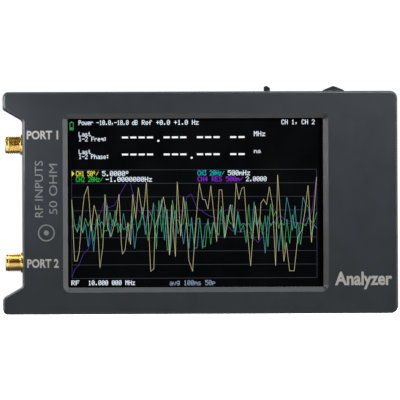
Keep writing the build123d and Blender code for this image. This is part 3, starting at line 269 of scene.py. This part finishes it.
class Layer:
    """Flat shapes, each a closed plate, gathered into one mesh on a face that looks along -Y.

    thick is how far the plates stand out of the face at face_y, and sink how far they reach into it.
    shift moves the whole mesh along X.
    """

    def __init__(self, face_y, thick, sink=0.0, shift=0.0):
        self.mesh = bmesh.new()
        self.shift = shift
        self.front = face_y - thick
        self.back = face_y + sink

    def plate(self, outline):
        """A plate from a convex outline of (x, z) points, counter-clockwise seen from the front."""
        front = [self.mesh.verts.new((x, self.front, z)) for x, z in outline]
        back = [self.mesh.verts.new((x, self.back, z)) for x, z in outline]
        count = len(outline)
        self.mesh.faces.new(front)
        self.mesh.faces.new(back[::-1])
        for i in range(count):
            j = (i + 1) % count
            self.mesh.faces.new((front[j], front[i], back[i], back[j]))

    def bar(self, x0, x1, z0, z1):
        self.plate([(x0, z0), (x1, z0), (x1, z1), (x0, z1)])

    def disc(self, x, z, radius, sides=20):
        self.plate([(x + radius * math.cos(2 * math.pi * i / sides),
                     z + radius * math.sin(2 * math.pi * i / sides)) for i in range(sides)])

    def line(self, points, width, closed=False):
        """A line of that width through the points, as one short plate per run."""
        ends = points + points[:1] if closed else points
        for (x0, z0), (x1, z1) in zip(ends, ends[1:]):
            run = math.hypot(x1 - x0, z1 - z0)
            along = ((x1 - x0) / run * width / 2, (z1 - z0) / run * width / 2)
            ax, az = x0 - along[0] * LINE_OVER, z0 - along[1] * LINE_OVER
            bx, bz = x1 + along[0] * LINE_OVER, z1 + along[1] * LINE_OVER
            self.plate([(ax + along[1], az - along[0]), (bx + along[1], bz - along[0]),
                        (bx - along[1], bz + along[0]), (ax - along[1], az + along[0])])

    def ring(self, x, z, radius, width, sides=36):
        for i in range(sides):
            a, b = (2 * math.pi * k / sides for k in (i, i + 1))
            inner, outer = radius - width / 2, radius + width / 2
            self.plate([(x + inner * math.cos(a), z + inner * math.sin(a)),
                        (x + outer * math.cos(a), z + outer * math.sin(a)),
                        (x + outer * math.cos(b), z + outer * math.sin(b)),
                        (x + inner * math.cos(b), z + inner * math.sin(b))])

    def text(self, words, x0, x1, z0, z1, weight=0.0, upright=False):
        """Words fitted to the box from (x0, z0) to (x1, z1). upright turns them to read upwards."""
        letters = bpy.data.curves.new("letters", "FONT")
        letters.body = words
        letters.extrude = 0.5
        letters.offset = weight
        letters.resolution_u = 3
        holder = bpy.data.objects.new("letters", letters)
        bpy.context.scene.collection.objects.link(holder)
        bpy.context.view_layer.update()
        made = bpy.data.meshes.new_from_object(
            holder.evaluated_get(bpy.context.evaluated_depsgraph_get())
        )
        corners = [v.co for v in made.vertices]
        left, right = min(c.x for c in corners), max(c.x for c in corners)
        down, up = min(c.y for c in corners), max(c.y for c in corners)
        for v in made.vertices:
            across = (v.co.x - left) / (right - left)
            rise = (v.co.y - down) / (up - down)
            if upright:
                across, rise = 1 - rise, across
            depth = self.front if v.co.z > 0 else self.back
            v.co = (x0 + across * (x1 - x0), depth, z0 + rise * (z1 - z0))
        self.mesh.from_mesh(made)
        bpy.data.objects.remove(holder)
        bpy.data.curves.remove(letters)
        bpy.data.meshes.remove(made)

    def pixels(self, words, x0, x1, z0, z1):
        """Words in the display's own five by seven pixel letters, fitted to the box."""
        across = (x1 - x0) / ((LETTER_COLUMNS + 1) * len(words) - 1)
        up = (z1 - z0) / LETTER_ROWS
        for place, letter in enumerate(words):
            for column in range(LETTER_COLUMNS):
                bits = int(PIXEL_LETTERS[letter][2 * column:2 * column + 2], 16)
                left = x0 + ((LETTER_COLUMNS + 1) * place + column) * across
                row = 0
                while row < LETTER_ROWS:
                    length = 0
                    while bits >> (row + length) & 1:
                        length += 1
                    if length:
                        self.bar(left - PIXEL_OVERLAP, left + across + PIXEL_OVERLAP,
                                 z1 - (row + length) * up, z1 - row * up)
                    row += length + 1

    def piece(self, name, material, body, slot):
        """The finished piece, in metres, riding on a body. slot is not used."""
        bmesh.ops.remove_doubles(self.mesh, verts=self.mesh.verts[:], dist=MERGE_DISTANCE)
        bmesh.ops.translate(self.mesh, vec=(self.shift, 0.0, 0.0), verts=self.mesh.verts[:])
        bmesh.ops.scale(self.mesh, vec=(MM, MM, MM), verts=self.mesh.verts[:])
        bmesh.ops.recalc_face_normals(self.mesh, faces=self.mesh.faces[:])
        made = bpy.data.meshes.new(name)
        self.mesh.to_mesh(made)
        self.mesh.free()
        made.materials.append(material)
        thing = bpy.data.objects.new(name, made)
        bpy.context.scene.collection.objects.link(thing)
        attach(thing, body)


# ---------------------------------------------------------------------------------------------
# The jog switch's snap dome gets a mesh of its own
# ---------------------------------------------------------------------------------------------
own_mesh(NODES["jog_dome"])

# ---------------------------------------------------------------------------------------------
# Printed ink on the case: generic port numbers, a plain description and a socket symbol
# ---------------------------------------------------------------------------------------------
bold_ink = finish("ink_warm_grey", (0.36, 0.35, 0.32), (0.44, 0.43, 0.40), (0.5, 0.62), grain=0.15,
                  relief=0.003, cloud=1.2)
pale_ink = finish("ink_cool_grey", (0.17, 0.175, 0.18), (0.22, 0.225, 0.23), (0.5, 0.62), grain=0.15,
                  relief=0.003, cloud=1.2)

BOLDER = 0.03  # how much the larger words are thickened, in letter heights
SYMBOL_X, SYMBOL_Z = -53.1, 28.0  # the socket symbol, a ring round a disc

print_bold = Layer(FACE_Y, PRINT_THICK, sink=PRINT_THICK)
print_bold.text("PORT 1", -59.7, -48.9, PORT_A_Z + 1.65, PORT_A_Z + 4.65, weight=BOLDER)
print_bold.text("PORT 2", -59.7, -48.9, PORT_B_Z - 1.95, PORT_B_Z + 1.1, weight=BOLDER)
print_bold.text("Analyzer", 46.0, 65.6, 8.2, 14.3, weight=BOLDER)
print_bold.piece("print_port_numbers", bold_ink, "instrument", None)

print_pale = Layer(FACE_Y, PRINT_THICK, sink=PRINT_THICK)
print_pale.text("RF INPUTS", -57.0, -54.2, 33.4, 52.7, upright=True)
print_pale.text("50 OHM", -52.1, -49.3, 34.4, 51.7, upright=True)
print_pale.ring(SYMBOL_X, SYMBOL_Z, 2.7, 0.42)
print_pale.disc(SYMBOL_X, SYMBOL_Z, 0.85)
print_pale.piece("print_description", pale_ink, "instrument", None)


# ---------------------------------------------------------------------------------------------
# The display's picture: generic readouts over a plot of four traces
# ---------------------------------------------------------------------------------------------
def glow(name, colour, strength=1.0):
    """A lit colour of the display: plain light on a base that is as dark and glossy as glass."""
    material = finish(name, (0.002, 0.002, 0.002), (0.004, 0.004, 0.004), (0.02, 0.035), grain=6.0,
                      relief=0.0002, cloud=12.0)
    shader = material.node_tree.nodes["Principled BSDF"]
    shader.inputs["Emission Color"].default_value = (*colour, 1.0)
    shader.inputs["Emission Strength"].default_value = strength
    return material


PICTURE_LEFT, PICTURE_RIGHT, PICTURE_LOW, PICTURE_HIGH = -45.2, 40.9, 9.45, 66.8
PICTURE_SHIFT = -0.19  # the whole picture's place along X
PICTURE_Y = GLASS_FACE_Y - PICTURE_THICK  # the field's outer face
READOUT_Y = PICTURE_Y - 0.012  # readouts stand over the traces
TRACE_STEP = 0.003  # each trace stands over the one before it


def picture(face_y):
    """An empty layer of the display's picture."""
    return Layer(face_y, PICTURE_THICK, shift=PICTURE_SHIFT)


def show(layer, name, colour, strength=1.0):
    """Lights a layer of the picture: picture_NAME, with the material glow_NAME."""
    material = glow("glow_" + name.removeprefix("trace_"), colour, strength)
    layer.piece("picture_" + name, material, "instrument", "lcd_black")


field = picture(GLASS_FACE_Y)
field.bar(PICTURE_LEFT, PICTURE_RIGHT, PICTURE_LOW, PICTURE_HIGH)
show(field, "field", (0.0001, 0.0003, 0.0010))

# The plot's frame and its lines
PLOT_LEFT, PLOT_RIGHT, PLOT_LOW, PLOT_HIGH = -44.1, 40.1, 12.33, 49.55
DIVISIONS = 8
DIVISION = (PLOT_HIGH - PLOT_LOW) / DIVISIONS
HALF_LINE = 0.085
grid = picture(PICTURE_Y)
for row in range(DIVISIONS + 1):
    level = PLOT_LOW + row * DIVISION
    grid.bar(PLOT_LEFT, PLOT_RIGHT, level - HALF_LINE, level + HALF_LINE)
for side in (PLOT_LEFT, PLOT_RIGHT):
    grid.bar(side - HALF_LINE, side + HALF_LINE, PLOT_LOW, PLOT_HIGH)
show(grid, "grid", (0.036, 0.040, 0.058))

# Turning points of the first trace: percent of the plot's width, divisions from its foot
SWINGS = [
    (0, 5.8), (0.8, 2.4), (1.1, 1.3), (2.1, 1.3), (3.0, 2.0), (4.3, 4.8), (5.1, 6.1), (6.6, 6.8),
    (7.2, 5.5), (7.9, 3.5), (9.1, 5.4), (10.3, 4.6), (11.4, 0.8), (12.6, 2.3), (13.6, 6.2),
    (14.6, 3.8), (16.0, 3.1), (17.9, 4.3), (19.3, 6.2), (20.2, 2.5), (20.6, 1.8), (21.7, 2.1),
    (22.9, 4.1), (23.9, 2.5), (24.9, 6.2), (26.1, 4.4), (27.2, 6.7), (28.8, 4.7), (29.6, 5.3),
    (30.5, 7.1), (31.4, 3.4), (32.1, 0.5), (33.4, 0.7), (33.9, 3.7), (36.0, 4.9), (37.4, 6.0),
    (38.7, 4.7), (39.8, 1.7), (40.8, 5.4), (42.2, 1.6), (43.1, 7.1), (44.4, 3.1), (45.6, 6.0),
    (46.9, 4.1), (47.7, 1.3), (49.2, 0.5), (50.6, 4.1), (52.1, 7.0), (53.4, 5.8), (54.4, 5.8),
    (55.6, 5.1), (56.8, 6.8), (59.1, 2.7), (60.2, 6.5), (61.3, 6.5), (62.5, 3.0), (64.8, 5.4),
    (66.1, 3.7), (67.1, 7.0), (68.2, 5.8), (69.4, 6.6), (70.4, 6.7), (71.5, 3.7), (72.9, 0.9),
    (74.9, 5.3), (76.3, 2.8), (77.2, 5.5), (78.3, 5.8), (79.5, 5.4), (80.7, 6.7), (82.0, 5.3),
    (83.1, 0.9), (84.1, 7.6), (85.3, 4.2), (86.5, 1.2), (87.5, 2.6), (88.8, 0.5), (90.7, 0.5),
    (92.2, 3.0), (93.9, 3.5), (95.2, 4.9), (96.5, 6.8), (97.8, 2.6), (100, 7.4),
]
DRIFT = [  # turning points of the slow trace
    (0, 0.1), (1.2, 0.7), (2.9, 1.0), (4.6, 1.8), (6.8, 2.2), (8.2, 3.2), (10.5, 4.2), (13.8, 5.9),
    (14.8, 5.2), (17.5, 5.4), (20.0, 6.3), (22.2, 7.0), (24.0, 7.0), (25.4, 6.0), (27.2, 5.0),
    (31.0, 4.4), (33.8, 5.4), (36.0, 4.6), (41.0, 4.4), (45.0, 4.6), (47.0, 6.0), (48.8, 6.2),
    (51.0, 5.2), (56.0, 4.6), (61.0, 4.3), (66.0, 3.4), (72.0, 3.4), (76.0, 2.6), (80.0, 3.6),
    (85.0, 4.6), (87.5, 4.2), (94.0, 4.0), (98.0, 4.8), (100, 7.5),
]


def in_plot(points):
    """Percent and divisions to millimetres on the display."""
    return [(PLOT_LEFT + (PLOT_RIGHT - PLOT_LEFT) * across / 100, PLOT_LOW + DIVISION * up)
            for across, up in points]


WANDER_RUNS = 90
TURN_CHANCE = 0.72  # how often a wandering trace crosses its middle level
SMALL_SWINGS = 1.6  # the higher, the more of its swings are small


def wander(seed, middle, reach):
    """A trace that darts about a middle level, the same on each run."""
    draw = random.Random(seed)
    levels = []
    side = 1
    for i in range(WANDER_RUNS + 1):
        side = -side if draw.random() < TURN_CHANCE else side
        swing = reach * draw.random() ** SMALL_SWINGS
        levels.append((100 * i / WANDER_RUNS, middle + side * swing))
    return levels


TRACES = (  # name, points, colour, width
    ("trace_slow", in_plot(DRIFT), (0.09, 0.03, 0.28), 0.13),
    ("trace_cyan", in_plot(wander(7, 3.9, 2.1)), (0.07, 0.34, 0.38), 0.12),
    ("trace_green", in_plot(wander(23, 3.9, 1.9)), (0.08, 0.42, 0.15), 0.12),
    ("trace_yellow", in_plot(SWINGS), (0.56, 0.52, 0.26), 0.125),
)
for step, (name, points, colour, width) in enumerate(TRACES):
    trace = picture(PICTURE_Y - TRACE_STEP * step)
    trace.line(points, width)
    show(trace, name, colour)

READOUTS = (  # words, left, right, foot, head
    ("Power -10.0,-10.0 dB", -41.6, -21.4, 65.0, 66.65),
    ("Ref +0.0 +1.0 Hz", -19.9, -0.4, 65.0, 66.65),
    ("CH 1, CH 2", 28.1, 39.5, 65.0, 66.65),
    ("Last", -41.6, -37.4, 61.1, 62.65),
    ("1-2 Freq:", -41.6, -32.0, 59.4, 61.0),
    ("Last", -41.6, -37.4, 55.05, 56.6),
    ("1-2 Phase:", -41.6, -31.2, 53.35, 54.95),
    ("MHz", 18.6, 22.5, 61.0, 62.7),
    ("ns", 18.6, 21.0, 55.2, 56.6),
    ("5.0000°", -33.6, -24.4, 47.45, 49.2),
    ("-1.0000000Hz", -32.4, -16.5, 45.5, 47.15),
    ("500mHz", 9.6, 17.2, 47.55, 49.3),
    ("2.0000", 15.8, 22.9, 45.5, 47.15),
    ("RF", -44.3, -41.6, 10.0, 11.65),
    ("10.000 000 MHz", -38.5, -22.5, 10.0, 11.65),
)
white = picture(READOUT_Y)
for readout in READOUTS:
    white.pixels(*readout)
show(white, "readouts", (0.80, 0.90, 1.0), 0.95)

# Two rows of dashes stand for the two values, each with a point and gaps between its digits
DASH_PITCH, DASH_LENGTH, DASH_HIGH, DASH_START = 2.86, 2.1, 0.62, -26.75
DASH_PLACES, DASH_GAPS = 15, (4, 8, 12)
POINT_DROP, POINT_RADIUS = 1.2, 0.37
dashes = picture(READOUT_Y)
for level, point_at in ((60.70, 4), (54.84, 8)):
    for place in range(DASH_PLACES):
        x = DASH_START + place * DASH_PITCH
        if place == point_at:
            dashes.disc(x + DASH_LENGTH / 2, level - POINT_DROP, POINT_RADIUS)
        if place not in DASH_GAPS:
            dashes.bar(x, x + DASH_LENGTH, level - DASH_HIGH / 2, level + DASH_HIGH / 2)
show(dashes, "dashes", (0.90, 0.95, 1.0))

pale = picture(READOUT_Y)
pale.pixels("avg 100ms 50p", -10.6, 5.1, 9.85, 11.6)
show(pale, "averaging", (0.24, 0.30, 0.42))

yellow = picture(READOUT_Y)
yellow.plate([(-44.05, 47.4), (-43.1, 48.35), (-44.05, 49.3)])  # the arrow at the active channel
yellow.pixels("CH1 50°/", -42.6, -34.9, 47.4, 49.25)
show(yellow, "label_yellow", (0.85, 0.85, 0.08), 0.85)

green = picture(READOUT_Y)
green.pixels("CH2 20Hz/", -42.6, -33.4, 45.45, 47.2)
show(green, "label_green", (0.04, 0.55, 0.07), 0.8)

# The battery symbol: an outline, its tip and a filled foot
BATTERY_X, BATTERY_Z, BATTERY_WIDE, BATTERY_HIGH = -44.6, 63.35, 1.15, 2.5
battery = picture(READOUT_Y)
battery.line([(BATTERY_X, BATTERY_Z), (BATTERY_X + BATTERY_WIDE, BATTERY_Z),
              (BATTERY_X + BATTERY_WIDE, BATTERY_Z + BATTERY_HIGH),
              (BATTERY_X, BATTERY_Z + BATTERY_HIGH)], 0.22, closed=True)
battery.bar(BATTERY_X + 0.35, BATTERY_X + 0.8, BATTERY_Z + BATTERY_HIGH, BATTERY_Z + 2.9)
battery.bar(BATTERY_X + 0.25, BATTERY_X + 0.9, BATTERY_Z + 0.25, BATTERY_Z + 0.85)
show(battery, "battery", (0.06, 0.32, 0.07))

cyan = picture(READOUT_Y)
cyan.pixels("CH3 20Hz/", -0.8, 8.4, 47.55, 49.3)
show(cyan, "label_cyan", (0.02, 0.55, 0.60), 0.8)

violet = picture(READOUT_Y)
violet.pixels("CH4 RES 500m/", -0.8, 14.8, 45.5, 47.2)
show(violet, "label_violet", (0.26, 0.03, 0.62), 0.85)

# ---------------------------------------------------------------------------------------------
# Studio: a dim room, a white floor and dome that only the camera sees, a dark card and soft lights
# ---------------------------------------------------------------------------------------------
bpy.context.scene.view_settings.view_transform = "Standard"
ROOM_GLOW = 0.04  # how bright the dark studio is around the lights
room = bpy.data.worlds.new("room")
room.use_nodes = True
room.node_tree.nodes["Background"].inputs["Color"].default_value = (1.0, 1.0, 1.0, 1.0)
room.node_tree.nodes["Background"].inputs["Strength"].default_value = ROOM_GLOW
bpy.context.scene.world = room


def card(name, location, facing, width, height, material):
    """A flat rectangle that looks towards a point."""
    sheet = bpy.data.meshes.new(name)
    w, h = width / 2, height / 2
    sheet.from_pydata([(-w, -h, 0), (w, -h, 0), (w, h, 0), (-w, h, 0)], [], [(0, 1, 2, 3)])
    sheet.materials.append(material)
    thing = bpy.data.objects.new(name, sheet)
    bpy.context.scene.collection.objects.link(thing)
    thing.location = location
    thing.rotation_mode = "QUATERNION"
    thing.rotation_quaternion = (Vector(location) - Vector(facing)).to_track_quat("-Z", "Y")
    return thing


def softbox(name, location, facing, width, height, radiance):
    """A soft rectangular light. It isn't seen by the camera itself."""
    lamp = bpy.data.lights.new(name, "AREA")
    lamp.shape = "RECTANGLE"
    lamp.size, lamp.size_y = width, height
    lamp.energy = radiance * math.pi * width * height
    thing = bpy.data.objects.new(name, lamp)
    bpy.context.scene.collection.objects.link(thing)
    thing.location = location
    thing.rotation_mode = "QUATERNION"
    thing.rotation_quaternion = (Vector(facing) - Vector(location)).to_track_quat("-Z", "Y")
    thing.visible_camera = False
    return thing


floor_material = finish("floor_paper", (0.80, 0.80, 0.80), (0.84, 0.84, 0.84), (0.8, 0.9),
                        grain=1.5, relief=0.02, cloud=60.0)
floor_shader = floor_material.node_tree.nodes["Principled BSDF"]
floor_shader.inputs["Emission Color"].default_value = (1.0, 1.0, 1.0, 1.0)
floor_shader.inputs["Emission Strength"].default_value = 1.0
floor = card("floor", (0.0, 1.0, -0.00005), (0.0, 1.0, 1.0), 8.0, 12.0, floor_material)
floor.visible_diffuse = floor.visible_glossy = floor.visible_shadow = False

DOME_RADIUS = 7.0
dome_shape = bmesh.new()
bmesh.ops.create_uvsphere(dome_shape, u_segments=48, v_segments=24, radius=DOME_RADIUS)
bmesh.ops.reverse_faces(dome_shape, faces=dome_shape.faces[:])
dome_mesh = bpy.data.meshes.new("dome")
dome_shape.to_mesh(dome_mesh)
dome_shape.free()
dome_mesh.materials.append(floor_material)
dome = bpy.data.objects.new("dome", dome_mesh)
bpy.context.scene.collection.objects.link(dome)
dome.visible_diffuse = dome.visible_glossy = dome.visible_shadow = False

# The display mirrors this card when it is seen from in front, so it stays black
dark_cloth = finish("dark_cloth", grey(0.004), grey(0.006), (0.9, 1.0), grain=1.0, relief=0.1,
                    cloud=20.0)
front_flag = card("front_flag", (0.14, -2.1, 0.10), (0.0, 0.0, 0.04), 0.9, 0.7, dark_cloth)
front_flag.visible_camera = False

HEART = (0.0, 0.0, 0.038)  # the middle of the instrument
PORTS = (-0.065, 0.0, 0.038)  # between the ports
LIGHTS = [  # name, place, what it faces, width, height, radiance
    ("light_top_right", (0.10, -0.14, 0.185), HEART, 0.06, 0.06, 31.0),
    ("light_right", (0.60, -0.22, 0.12), HEART, 0.25, 0.6, 5.8),
    ("light_left", (-0.60, -0.10, 0.12), HEART, 0.25, 0.6, 1.9),
    ("light_horn", (-0.100, -0.030, 0.064), PORTS, 0.03, 0.03, 14.5),
    ("light_back_left", (-0.45, 1.0, 0.45), HEART, 1.4, 0.8, 1.6),
    ("light_rear", (0.5, 1.1, 0.5), HEART, 0.9, 0.9, 3.0),
    ("light_top", (0.0, -0.1, 0.8), HEART, 0.8, 0.4, 1.9),
    ("light_under", (0.0, -0.085, -0.30), HEART, 0.5, 0.12, 1.7),
    ("light_ports_high", (-0.058, -0.15, 0.38), PORTS, 0.10, 0.14, 2.2),
    ("light_ports_low", (-0.045, -0.41, -0.25), PORTS, 0.12, 0.47, 1.4),
    ("light_ports_side", (-0.42, 0.20, 0.05), PORTS, 0.30, 0.30, 1.2),
]
for name, place, facing, width, height, radiance in LIGHTS:
    softbox(name, place, facing, width, height, radiance)
